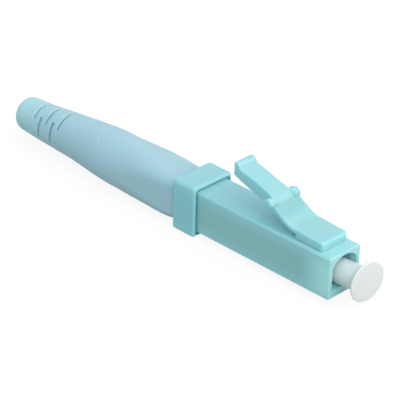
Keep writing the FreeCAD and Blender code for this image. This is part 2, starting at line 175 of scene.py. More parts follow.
def skin(name: str, points: np.ndarray, loop: bool) -> bpy.types.Object:
    """Closed piece from a grid of points, with its seams and poles welded.

    The last column always joins the first.

    Args:
        name: Name of the piece.
        points: Rows by columns by XYZ, in millimetres.
        loop: Whether the last row joins the first.

    Returns:
        The piece, at the origin, smooth and facing outwards.
    """
    rows, columns = points.shape[:2]
    i = np.arange(rows if loop else rows - 1)[:, None]
    j = np.arange(columns)[None, :]
    below, beside = (i + 1) % rows, (j + 1) % columns
    quads = np.stack([i * columns + j, i * columns + beside,
                      below * columns + beside, below * columns + j], axis=-1).reshape(-1)
    mesh = bpy.data.meshes.new(name)
    mesh.vertices.add(rows * columns)
    mesh.vertices.foreach_set("co", (points * MM).astype(np.float32).reshape(-1))
    mesh.loops.add(len(quads))
    mesh.loops.foreach_set("vertex_index", quads.astype(np.int32))
    mesh.polygons.add(len(quads) // 4)
    mesh.polygons.foreach_set("loop_start", np.arange(0, len(quads), 4, dtype=np.int32))
    mesh.update(calc_edges=True)
    work = bmesh.new()
    work.from_mesh(mesh)
    bmesh.ops.remove_doubles(work, verts=work.verts, dist=WELD)
    open_edges = [edge for edge in work.edges if edge.is_boundary]
    if open_edges:
        bmesh.ops.holes_fill(work, edges=open_edges)
    bmesh.ops.recalc_face_normals(work, faces=work.faces)
    work.to_mesh(mesh)
    work.free()
    mesh.polygons.foreach_set("use_smooth", np.ones(len(mesh.polygons), dtype=bool))
    piece = bpy.data.objects.new(name, mesh)
    bpy.context.collection.objects.link(piece)
    return piece


def weld(base: bpy.types.Object, others: list[bpy.types.Object], crisp: float) -> None:
    """Merge closed pieces into one, as they are in a moulding.

    Args:
        base: Piece that takes the others in.
        others: Pieces to merge, which are then removed.
        crisp: Edges that turn by more than this many degrees stay sharp.
    """
    for other in others:
        union = base.modifiers.new("union", "BOOLEAN")
        union.operation, union.solver, union.object = "UNION", "EXACT", other
    graph = bpy.context.evaluated_depsgraph_get()
    merged = bpy.data.meshes.new_from_object(base.evaluated_get(graph))
    base.modifiers.clear()
    base.data = merged
    merged.set_sharp_from_angle(angle=math.radians(crisp))
    for other in others:
        bpy.data.objects.remove(other)


def along_fibre(angles: np.ndarray, rows: list[tuple[float, np.ndarray]]) -> np.ndarray:
    """Points of outlines set across the fibre's axis.

    A point is (-station, r cos, r sin) of its row's station and its own radius and angle.

    Args:
        angles: Angles of the columns.
        rows: Station and outline of each row.

    Returns:
        Rows by columns by XYZ.
    """
    station = np.array([row[0] for row in rows])[:, None]
    radius = np.array([row[1] * np.ones_like(angles) for row in rows])
    x = -station * np.ones_like(radius)
    return np.stack([x, radius * np.cos(angles), radius * np.sin(angles)], axis=-1)


def across_latch(angles: np.ndarray, rows: list[tuple[float, np.ndarray]],
                 centre: tuple[float, float]) -> np.ndarray:
    """Points of side outlines set one behind the other across Y.

    Args:
        angles: Angles of the columns, from the mating end towards +Z.
        rows: Y and outline of each row.
        centre: Station and height that the outlines go round.

    Returns:
        Rows by columns by XYZ.
    """
    side = np.array([row[0] for row in rows])[:, None]
    radius = np.array([row[1] * np.ones_like(angles) for row in rows])
    y = side * np.ones_like(radius)
    return np.stack([-centre[0] + radius * np.cos(angles), y,
                     centre[1] + radius * np.sin(angles)], axis=-1)


# ---- finishes ----

def linear(code: str) -> tuple[float, float, float, float]:
    """Linear colour of an sRGB hex code such as #8fd0d6.

    Args:
        code: The hex code, with its hash sign.

    Returns:
        Red, green, blue and an opacity of 1.
    """
    parts = [int(code[i:i + 2], 16) / 255.0 for i in (1, 3, 5)]
    red, green, blue = [p / 12.92 if p <= 0.04045 else ((p + 0.055) / 1.055) ** 2.4 for p in parts]
    return red, green, blue, 1.0


def per_mm(size: float) -> float:
    """Scale at which a pattern's features are about this many millimetres across."""
    return 1.0 / (size * MM)


def add(tree: bpy.types.NodeTree, kind: str, settings: dict | None = None,
        links: dict | None = None) -> bpy.types.Node:
    """Add a node.

    Args:
        tree: Node tree that gets the node.
        kind: Blender's name of the node type.
        settings: Values of its inputs, by name or number, and of its own properties.
        links: Output socket that feeds each named or numbered input.

    Returns:
        The new node.
    """
    node = tree.nodes.new(kind)
    for key, value in (settings or {}).items():
        if isinstance(key, str) and hasattr(node, key):
            setattr(node, key, value)
    for key, value in (settings or {}).items():
        if not (isinstance(key, str) and hasattr(node, key)):
            node.inputs[key].default_value = value
    for key, source in (links or {}).items():
        tree.links.new(source, node.inputs[key])
    return node


def empty_material(name: str) -> bpy.types.Material:
    """Make a material with no nodes in its tree.

    Args:
        name: Name of the material.

    Returns:
        The new material.
    """
    made = bpy.data.materials.new(name)
    made.use_nodes = True
    made.node_tree.nodes.clear()
    return made


def seen_plainly(tree: bpy.types.NodeTree) -> bpy.types.NodeSocket:
    """Add the nodes that tell rays from the camera, a gloss or a clear piece from the rest.

    Args:
        tree: Node tree that gets them.

    Returns:
        Output that is 1 for those rays and 0 for those that only carry light.
    """
    path = add(tree, "ShaderNodeLightPath")
    seen = path.outputs["Is Camera Ray"]
    for other in ("Is Glossy Ray", "Is Transmission Ray"):
        seen = add(tree, "ShaderNodeMath", {"operation": "MAXIMUM"},
                   {0: seen, 1: path.outputs[other]}).outputs[0]
    return seen


@dataclass(frozen=True)
class Zone:
    """Stretch of a moulding drawn in another tone, which fades in and out along the fibre and
    towards a height above and below the axis.
    """
    tone: str
    rise: tuple[float, float]       # stations where it begins to show and shows in full
    fall: tuple[float, float]       # stations where it begins to fade and is gone
    half_height: float              # it fades out towards this height above and below the axis

    def share(self, tree: bpy.types.NodeTree,
              place: bpy.types.NodeSocket) -> bpy.types.NodeSocket:
        """Add the nodes that work out how much of the tone shows.

        It is the product of two smooth steps along the fibre and one across its height.

        Args:
            tree: Node tree of the material.
            place: Object coordinates.

        Returns:
            The share, from 0 to 1.
        """
        parts = add(tree, "ShaderNodeSeparateXYZ", None, {0: place})
        high = add(tree, "ShaderNodeMath", {"operation": "ABSOLUTE"}, {0: parts.outputs["Z"]})
        bands = ((parts.outputs["X"], -self.rise[0], -self.rise[1]),
                 (parts.outputs["X"], -self.fall[1], -self.fall[0]),
                 (high.outputs[0], self.half_height, 0.3 * self.half_height))
        share = None
        for value, none, full in bands:
            step = add(tree, "ShaderNodeMapRange",
                       {"interpolation_type": "SMOOTHSTEP", "From Min": none * MM,
                        "From Max": full * MM}, {"Value": value}).outputs["Result"]
            if share is not None:
                step = add(tree, "ShaderNodeMath", {"operation": "MULTIPLY"},
                           {0: share, 1: step}).outputs[0]
            share = step
        return share


@dataclass(frozen=True)
class Moulding:
    """Injection-moulded plastic or elastomer.

    The mould leaves a fine grain, the melt's flow leaves faint drifts of tone, and light that
    enters a thin edge comes out of it again.
    """
    name: str
    colour: str
    drift: str                  # tone of the drifts
    roughness: float
    ior: float = 1.55
    grain: Grain = Grain.SATIN
    grain_mm: float = 0.09      # drawn coarser than the real 0.02 to 0.04, to show at all
    flow_mm: float = 4.0        # length of the drifts
    glow: float = 0.0           # share of light that goes under the surface
    glow_mm: float = 0.35       # how far the light goes that isn't soaked up
    glow_red: float = 0.6       # share of that way that red light goes
    clear: float = 0.0          # share of light that goes through
    sheen: float = 0.0
    zones: tuple[Zone, ...] = ()

    def material(self) -> bpy.types.Material:
        """Make the material.

        Returns:
            The new material.
        """
        made = empty_material(self.name)
        tree = made.node_tree
        place = add(tree, "ShaderNodeTexCoord").outputs["Object"]
        stretch = add(tree, "ShaderNodeMapping", {"Scale": (0.45, 1.0, 1.0)}, {"Vector": place})
        flow = add(tree, "ShaderNodeTexNoise",
                   {"Scale": per_mm(self.flow_mm), "Detail": 3.0, "Roughness": 0.45},
                   {"Vector": stretch.outputs["Vector"]})
        tone = add(tree, "ShaderNodeMix",
                   {"data_type": "RGBA", 6: linear(self.colour), 7: linear(self.drift)},
                   {0: flow.outputs["Fac"]})
        # each zone lays another tone over a stretch; the plug's and the latch's zones are painted
        # shade and painted light
        for zone in self.zones:
            tone = add(tree, "ShaderNodeMix", {"data_type": "RGBA", 7: linear(zone.tone)},
                       {0: zone.share(tree, place), 6: tone.outputs[2]})
        spots = add(tree, "ShaderNodeTexNoise",
                    {"Scale": per_mm(self.grain_mm), "Detail": 2.0, "Roughness": 0.6},
                    {"Vector": place})
        rough = add(tree, "ShaderNodeMapRange",
                    {"To Min": self.roughness - 0.05, "To Max": self.roughness + 0.05},
                    {"Value": spots.outputs["Fac"]})
        bump = add(tree, "ShaderNodeBump",
                   {"Strength": 0.6, "Distance": self.grain_mm * self.grain.value * MM},
                   {"Height": spots.outputs["Fac"]})
        shader = add(tree, "ShaderNodeBsdfPrincipled",
                     {"IOR": self.ior, "Subsurface Weight": self.glow,
                      "Subsurface Scale": self.glow_mm * MM,
                      "Subsurface Radius": (self.glow_red, 1.0, 1.0),
                      "Transmission Weight": self.clear, "Sheen Weight": self.sheen,
                      "Sheen Roughness": 0.5},
                     {"Base Color": tone.outputs[2], "Roughness": rough.outputs["Result"],
                      "Normal": bump.outputs["Normal"]})
        add(tree, "ShaderNodeOutputMaterial", None, {"Surface": shader.outputs["BSDF"]})
        return made


@dataclass(frozen=True)
class Metal:
    """Drawn, turned or plated metal, with fine lines along or round the piece."""
    name: str
    colour: str
    tarnish: str                # tone in the hollows of the lines
    roughness: float
    line_mm: float = 0.06       # spacing of the tool's lines, drawn coarse enough to show
    stretch: tuple[float, float, float] = (1.0, 0.05, 0.05)

    def material(self) -> bpy.types.Material:
        """Make the material.

        Returns:
            The new material.
        """
        made = empty_material(self.name)
        tree = made.node_tree
        place = add(tree, "ShaderNodeTexCoord").outputs["Object"]
        lines = add(tree, "ShaderNodeMapping", {"Scale": self.stretch}, {"Vector": place})
        marks = add(tree, "ShaderNodeTexNoise", {"Scale": per_mm(self.line_mm), "Detail": 3.0},
                    {"Vector": lines.outputs["Vector"]})
        tone = add(tree, "ShaderNodeMix",
                   {"data_type": "RGBA", 6: linear(self.colour), 7: linear(self.tarnish)},
                   {0: marks.outputs["Fac"]})
        rough = add(tree, "ShaderNodeMapRange",
                    {"To Min": self.roughness - 0.07, "To Max": self.roughness + 0.1},
                    {"Value": marks.outputs["Fac"]})
        bump = add(tree, "ShaderNodeBump", {"Strength": 0.5, "Distance": 0.002 * MM},
                   {"Height": marks.outputs["Fac"]})
        shader = add(tree, "ShaderNodeBsdfPrincipled", {"Metallic": 1.0},
                     {"Base Color": tone.outputs[2], "Roughness": rough.outputs["Result"],
                      "Normal": bump.outputs["Normal"]})
        add(tree, "ShaderNodeOutputMaterial", None, {"Surface": shader.outputs["BSDF"]})
        return made


# PBT, injection moulded in a satin mould: a soft gloss and slightly lit edges. Painted shade
# darkens the body's sides between the nose and the collar, painted light brightens the nose round
# its mouth, and painted shade darkens the collar's sides.
AQUA_PBT = Moulding("aqua_pbt_satin", "#9fdae2", "#97d4dc", 0.38, glow=0.4, glow_mm=0.6,
                    glow_red=0.3,
                    # painted shade: the body's sides darker from behind the nose to the collar,
                    # the top and underside little
                    zones=(Zone("#91cacd", (0.6, 4.4), (17.9, 18.2), 2.3),
                           # painted light: the nose and the front of the body's sides lighter,
                           # round the mouth
                           Zone("#b4f2f2", (-0.4, 0.35), (0.7, 4.2), 3.2),
                           # painted shade: the collar's sides darker and deeper in tone than its
                           # top
                           Zone("#8dd3dd", (17.9, 18.3), (21.4, 21.6), 2.8)))
# The same plastic where it is thin and free on both sides: more light comes through.
AQUA_PBT_THIN = Moulding("aqua_pbt_thin", "#a0dae0", "#9ad5db", 0.38, glow=0.9, glow_mm=1.4,
                         glow_red=0.3,
                         # painted shade: a darker band across the arm in front of the shoulders,
                         # where its slope changes
                         zones=(Zone("#8cc6cb", (6.0, 7.4), (7.9, 8.5), 20.0),))
# Thermoplastic elastomer, moulded: bluer and duller than the plug, soft to the eye.
AQUA_TPE = Moulding("aqua_tpe_boot", "#afd5e1", "#a7cfdc", 0.55, ior=1.5, grain=Grain.MATTE,
                    glow=0.25, glow_mm=0.4, glow_red=0.4, sheen=0.05,
                    # the tail drawn in a lighter tone
                    zones=(Zone("#b3dee7", (41.5, 46.5), (49.0, 50.0), 20.0),))
# Natural low-density polyethylene, moulded: milky, lets light through.
NATURAL_LDPE = Moulding("natural_ldpe", "#e7f1f1", "#dfe9e9", 0.4, ior=1.51, glow=0.5,
                        glow_mm=0.8, glow_red=0.9)
# Yttria-stabilised zirconia, ground and lapped: white, hard gloss.
ZIRCONIA = Moulding("lapped_zirconia", "#f2f1ea", "#eceae0", 0.14, ior=2.15,
                    grain=Grain.POLISHED, grain_mm=0.05, glow=0.2, glow_mm=0.2)
# Fused silica fibre, drawn and polished at its end: clear.
SILICA = Moulding("drawn_silica", "#eef6ff", "#e6f0fb", 0.08, ior=1.46, grain=Grain.POLISHED,
                  grain_mm=0.03, clear=0.9)
# Polyetherimide, moulded: pale amber, satin.
HOLDER_PEI = Moulding("moulded_pei", "#d6cdb4", "#cbbf9f", 0.36, ior=1.65, glow=0.15)
# Liquid-crystal polymer, moulded: off-white with visible flow.
SPLICE_LCP = Moulding("moulded_lcp", "#e4e2d8", "#d3cfc0", 0.42, ior=1.62, flow_mm=1.5)
# Acetal, moulded: white, slippery, low gloss.
CAM_POM = Moulding("moulded_acetal", "#f0efe9", "#e6e4dc", 0.34, ior=1.48, glow=0.3)
# PBT with carbon black, moulded: nearly black, matte.
RETAINER_PBT = Moulding("black_pbt", "#2d3032", "#242628", 0.45, grain=Grain.MATTE)
# Polyamide tube, extruded: straw white, fine lines along it.
GUIDE_PA = Moulding("extruded_polyamide", "#e8e2cd", "#ddd5ba", 0.35, ior=1.53, flow_mm=2.0,
                    glow=0.3)
# Music wire, drawn: grey with lines along the wire.
SPRING_WIRE = Metal("drawn_music_wire", "#b4b7bb", "#8e9195", 0.28)
# Brass under electroless nickel, turned: warm grey with fine rings.
NICKEL_BRASS = Metal("nickel_plated_brass", "#c9c6ba", "#aba797", 0.24)


def dress(piece: bpy.types.Object, material: bpy.types.Material) -> None:
    """Give a piece one material."""
    piece.data.materials.clear()
    piece.data.materials.append(material)


def dress_node(node: str, material: bpy.types.Material) -> None:
    """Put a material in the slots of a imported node, whose mesh stays as it is.

    Args:
        node: Name of the node.
        material: Material for all its slots.
    """
    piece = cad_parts[node]
    if not piece.material_slots:
        piece.data.materials.append(material)
    for slot in piece.material_slots:
        slot.material = material


# ---- sub-assemblies ----

class Assembly(Protocol):
    """Part of the scene that can be built on its own."""

    def build(self) -> list[bpy.types.Object]:
        """Build it.

        Returns:
            The pieces made.
        """


@dataclass
class PlugHousing:
    """Plug body and collar, open at both ends."""
    material: bpy.types.Material
    columns: int = 720
    half: float = 2.26              # plug body, half its width
    crown: float = 0.2              # how much further the top is from the axis
    edge: float = 0.34              # upper long edges of the body
    edge_below: float = 0.1         # and its lower ones
    nose_round: float = 0.19        # round of the front face's rim
    collar_front: float = 18.2
    collar_crown: float = 0.25
    collar_edge: float = 0.48
    collar_edge_below: float = 0.28
    collar_round: float = 0.33
    gap: float = 0.3                # groove round the body where the collar starts
    gap_depth: float = 0.32
    mouth_half: float = 1.8         # mating opening
    mouth_roof: float = 2.14
    mouth_floor: float = 1.41
    mouth_power: float = 28.0       # how sharp the opening's corners are
    lip: float = 0.06               # round of its rim
    web_front: float = 5.4          # web that the holder's flange rests on
    web_rear: float = 6.4
    web_hole: float = 1.185
    chamber: float = 1.81           # bore for the spring and the flange
    seat: float = 19.4              # where the retainer's pocket starts
    seat_bore: float = 2.33
    collar_half: float = field(init=False)
    rear: float = field(init=False)
    angles: np.ndarray = field(init=False)

    def __post_init__(self) -> None:
        """Take the collar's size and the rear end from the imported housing."""
        low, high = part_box("housing")
        self.collar_half = float(high.y) / MM
        self.rear = -float(low.x) / MM
        self.angles = around(self.columns)

    def block(self, half: float, crown: float, above: float, below: float) -> np.ndarray:
        """Outline of a rounded bar with a raised top.

        Args:
            half: Distance of its sides and underside from the axis.
            crown: How much further its top is.
            above: Radius of its upper edges.
            below: Radius of its lower edges.

        Returns:
            One radius for each angle.
        """
        up = np.sin(self.angles) > 0
        return rounded(self.angles, half, half + crown * up,
                       np.maximum(np.where(up, above, below), SHARPEST))

    def body(self, inset: float) -> np.ndarray:
        """Outline of the plug body, moved inwards."""
        return self.block(self.half - inset, self.crown, self.edge - inset,
                          self.edge_below - inset)

    def collar(self, inset: float) -> np.ndarray:
        """Outline of the collar, moved inwards."""
        return self.block(self.collar_half - inset, self.collar_crown,
                          self.collar_edge - inset, self.collar_edge_below - inset)

    def mouth(self, grow: float) -> np.ndarray:
        """Outline of the mating opening, moved outwards.

        It is the power mean of the two sides, the floor and the round roof.

        Args:
            grow: How far it is moved.

        Returns:
            One radius for each angle.
        """
        sides = np.array([0.0, math.pi, -math.pi / 2])
        gaps = np.array([self.mouth_half, self.mouth_half, self.mouth_floor]) + grow
        power = self.mouth_power
        flat = convex(self.angles, sides, gaps, power)
        roof = np.where(np.sin(self.angles) > 0, self.mouth_roof + grow, 1e3)
        return (flat ** -power + roof ** -power) ** (-1.0 / power)

    def front_rows(self) -> list[tuple[float, np.ndarray]]:
        """Rows from the body's side over the front face and into the mouth.

        Returns:
            Station and outline of each row.
        """
        f, g = self.nose_round, self.lip
        rows = [(f * (1 - math.sin(a)), self.body(f * (1 - math.cos(a)))) for a in ROUND]
        rows += [(0.0, mixed(self.body(f), self.mouth(g), t)) for t in (0.06, 0.94)]
        rows += [(g * (1 - math.cos(a)), self.mouth(g * (1 - math.sin(a)))) for a in ROUND]
        return rows

    def inner_rows(self) -> list[tuple[float, np.ndarray]]:
        """Rows down the mouth, through the web, along the chamber and out at the rear.

        Returns:
            Station and outline of each row.
        """
        mouth, hole = self.mouth(0.0), self.web_hole * np.ones_like(self.angles)
        chamber, seat = self.chamber + 0 * hole, self.seat_bore + 0 * hole
        front, rear = self.web_front, self.web_rear
        rows = [(s, mouth) for s in (self.lip + SETTLE, 2.0, front - SETTLE, front)]
        rows += [(front, mixed(mouth, hole, t)) for t in (0.08, 0.92)]
        rows += [(s, hole) for s in (front, front + SETTLE, rear - SETTLE, rear)]
        rows += [(rear, mixed(hole, chamber, t)) for t in (0.1, 0.9)]
        rows += [(s, chamber) for s in (rear, rear + SETTLE, self.seat - SETTLE, self.seat)]
        rows += [(self.seat, mixed(chamber, seat, t)) for t in (0.1, 0.9)]
        rows += [(s, seat) for s in (self.seat, self.seat + SETTLE, self.rear - SETTLE, self.rear)]
        return rows

    def collar_rows(self) -> list[tuple[float, np.ndarray]]:
        """Rows from the rear opening round the collar and back to the body's side.

        Returns:
            Station and outline of each row.
        """
        c, front = self.collar_round, self.collar_front
        seat, foot = self.seat_bore * np.ones_like(self.angles), self.body(-self.gap)
        deep = front + self.gap_depth
        rows = [(self.rear, mixed(seat, self.collar(c), t)) for t in (0.1, 0.9)]
        rows += [(self.rear - c * (1 - math.sin(a)), self.collar(c * (1 - math.cos(a))))
                 for a in ROUND[::-1]]
        rows += [(s, self.collar(0.0)) for s in (self.rear - c - SETTLE, front + c + SETTLE)]
        rows += [(front + c * (1 - math.sin(a)), self.collar(c * (1 - math.cos(a))))
                 for a in ROUND]
        rows += [(s, foot) for s in (front, front + SETTLE, deep - SETTLE, deep)]
        rows += [(s, self.body(0.0)) for s in (deep, deep - SETTLE, front, 12.0, 6.0,
                                               self.nose_round + SETTLE)]
        return rows

    def build(self) -> list[bpy.types.Object]:
        """Make the moulding.

        Returns:
            The piece made.
        """
        rows = self.front_rows() + self.inner_rows() + self.collar_rows()
        shell = skin("plug_moulding", along_fibre(self.angles, rows), loop=True)
        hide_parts("housing")
        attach(shell, "plug")
        dress(shell, self.material)
        return [shell]


@dataclass
class Latch:
    """Spring latch: root block, arm with a turned-up finger tab, and two locking shoulders."""
    material: bpy.types.Material
    foot: float = 2.14              # underside of the root, just inside the plug body
    front: float = 1.45
    nose: float = 0.34              # round of the root's upright front edges
    brow: float = 0.26              # round of its top front edge
    notch: float = 5.03             # rear of the root, where the arm's underside starts
    corner: float = 0.1
    end_round: float = 0.13
    tab_short: float = 0.02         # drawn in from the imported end
    upper: tuple[tuple[float, float], ...] = (
        (1.45, 3.38), (3.3, 3.46), (4.8, 3.53), (5.4, 3.57), (5.7, 3.64), (6.0, 3.73),
        (6.3, 3.86), (6.9, 4.15), (7.5, 4.49), (7.85, 4.72), (8.05, 4.87), (8.25, 5.06),
        (8.5, 5.27), (9.0, 5.52), (9.9, 5.81), (11.0, 6.14), (12.1, 6.45), (13.0, 6.66),
        (13.28, 6.74), (13.4, 6.85), (13.48, 7.02), (13.57, 7.16), (13.72, 7.26), (13.95, 7.29),
        (14.2, 7.27))
    lower: tuple[tuple[float, float], ...] = (
        (5.0, 3.0), (5.1, 3.02), (5.7, 3.12), (6.3, 3.35), (6.9, 3.64), (7.5, 3.98), (8.0, 4.3),
        (8.3, 4.46), (8.7, 4.5), (9.0, 4.38), (9.3, 4.28), (9.9, 4.4), (10.7, 4.6), (11.6, 4.84),
        (12.3, 5.08), (13.25, 5.44), (14.2, 5.82))
    plan: tuple[tuple[float, float], ...] = (
        (1.45, 1.85), (4.8, 1.85), (6.9, 1.87), (7.8, 1.86), (8.2, 1.84), (8.5, 1.72),
        (8.8, 1.45), (9.1, 1.29), (9.5, 1.25), (14.3, 1.25))
    bend: tuple[float, float] = (4.4, 6.2)      # stations between which the arm flexes
    tab_start: float = 13.2         # from here the rows are closer, for the turned-up end
    shoulder_columns: int = 96
    shoulder_centre: tuple[float, float] = (8.66, 4.98)
    shoulder_root: float = 1.25     # inner end, inside the arm
    shoulder_reach: float = 2.18
    shoulder_round: float = 0.24
    shoulder_power: float = 11.0    # how sharp its corners are
    crisp: float = 14.0             # degrees past which an edge of the moulding stays sharp
    shoulder_sides: tuple[tuple[float, float], ...] = (     # each side's direction and distance
        (-20.0, 0.64), (50.0, 0.5), (108.0, 0.5), (180.0, 0.62), (232.0, 0.54), (276.0, 0.44))
    end: float = field(init=False)

    def __post_init__(self) -> None:
        """Take the tab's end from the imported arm."""
        self.end = -float(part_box("latch_arm")[0].x) / MM - self.tab_short

    def section(self) -> tuple[np.ndarray, ...]:
        """Rounded-rectangle section, column by column.

        Returns:
            Signs of Y and Z, cosine and sine of the corner's arc, and settling shifts of Y and Z.
        """
        arc = np.concatenate([ROUND[:1], ROUND, ROUND[-1:]])
        shift_y = np.concatenate([[0.0], np.zeros(len(ROUND)), [-SETTLE]])
        shift_z = np.concatenate([[-SETTLE], np.zeros(len(ROUND)), [0.0]])
        quarter = (np.cos(arc), np.sin(arc), shift_y, shift_z)
        signs = ((1, 1), (-1, 1), (-1, -1), (1, -1))
        parts = []
        for k, (sy, sz) in enumerate(signs):
            step = 1 if k % 2 == 0 else -1
            parts.append([sy * np.ones_like(arc), sz * np.ones_like(arc)]
                         + [term[::step] for term in quarter])
        return tuple(np.concatenate([part[i] for part in parts]) for i in range(6))

    def stations(self) -> tuple[np.ndarray, np.ndarray]:
        """Stations of the rows.

        Returns:
            The stations, and how far each row is drawn in at the tab's end.
        """
        e = self.end_round
        nose = self.front + self.nose * (1 - np.cos(np.linspace(0.0, math.pi / 2, 14)))
        run = [np.linspace(self.front + self.nose + 0.05, self.notch - 0.06, 24),
               self.notch + np.array([-0.03, -0.004, 0.004, 0.03]),
               np.linspace(self.notch + 0.07, self.tab_start, 100),
               np.linspace(self.tab_start + 0.05, self.end - e, 30)]
        turn = self.end - e * (1 - np.sin(ROUND[1:]))
        drawn = e * (1 - np.cos(ROUND[1:]))
        stations = np.concatenate([[self.front], nose] + run + [turn, [self.end]])
        flat = np.zeros(len(stations) - len(turn) - 1)
        return stations, np.concatenate([flat, drawn, [e]])

    def latch_points(self) -> np.ndarray:
        """Points of the root and arm.

        At a station the section is a rounded rectangle between the lower and upper curve, as
        wide as the plan, with a corner of at most 0.8 of half its height. At the nose the top
        and the flanks are drawn in by r - sqrt(r^2 - (r - d)^2), with d the distance behind
        the front face.

        Returns:
            Rows by columns by XYZ.
        """
        s, drawn = self.stations()
        behind = s - self.front
        brow, nose = (r - np.sqrt(np.maximum(r ** 2 - np.maximum(r - behind, 0.0) ** 2, 0.0))
                      for r in (self.brow, self.nose))
        top = smooth(s, self.upper) - drawn - brow
        low = np.where(s < self.notch, self.foot, smooth(s, self.lower)) + drawn
        wide = smooth(s, self.plan) - drawn - nose
        half = (top - low) / 2
        half[[0, -1]] = 0.0
        corner = np.minimum(self.corner, half * 0.8)
        sy, sz, cos, sin, shift_y, shift_z = self.section()
        c = corner[:, None]
        fade = np.minimum(1.0, c / self.corner)
        y = sy * (wide[:, None] - c + c * cos + shift_y * fade)
        z = (top + low)[:, None] / 2 + sz * (half[:, None] - c + c * sin + shift_z * fade)
        return np.stack([-s[:, None] * np.ones_like(y), y, z], axis=-1)

    def shoulder_points(self, side: int) -> np.ndarray:
        """Points of one locking shoulder: a six-sided outline with its outer end rounded.

        Over the round of radius e the outline is drawn in by e (1 - cos a) where it is
        e (1 - sin a) short of the outer end.

        Args:
            side: 1 for the shoulder towards +Y, -1 for the other.

        Returns:
            Rows by columns by XYZ.
        """
        angles = around(self.shoulder_columns)
        degrees, gaps = np.array(self.shoulder_sides).T
        e, reach = self.shoulder_round, self.shoulder_reach

        def outline(inset: float) -> np.ndarray:
            """Outline of the shoulder, moved inwards."""
            return convex(angles, np.radians(degrees), gaps - inset, self.shoulder_power)

        full, centre, root = outline(0.0), 0.0 * angles, side * self.shoulder_root
        rows = [(root, centre), (root, full * 0.9), (root, full)]
        rows += [(side * (reach - e - SETTLE), full)]
        rows += [(side * (reach - e * (1 - math.sin(a))), outline(e * (1 - math.cos(a))))
                 for a in ROUND]
        rows += [(side * reach, outline(e) * 0.85), (side * reach, centre)]
        return across_latch(angles, rows, self.shoulder_centre)

    def build(self) -> list[bpy.types.Object]:
        """Make the root, arm and shoulders as one moulding.

        Returns:
            The piece made.
        """
        arm = skin("latch_spring", self.latch_points(), loop=False)
        shoulders = [skin("shoulder_%d" % k, self.shoulder_points(side), loop=False)
                     for k, side in enumerate((-1, 1))]
        weld(arm, shoulders, self.crisp)
        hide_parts("latch_arm")
        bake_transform(arm)
        dress(arm, self.material)
        return [arm]


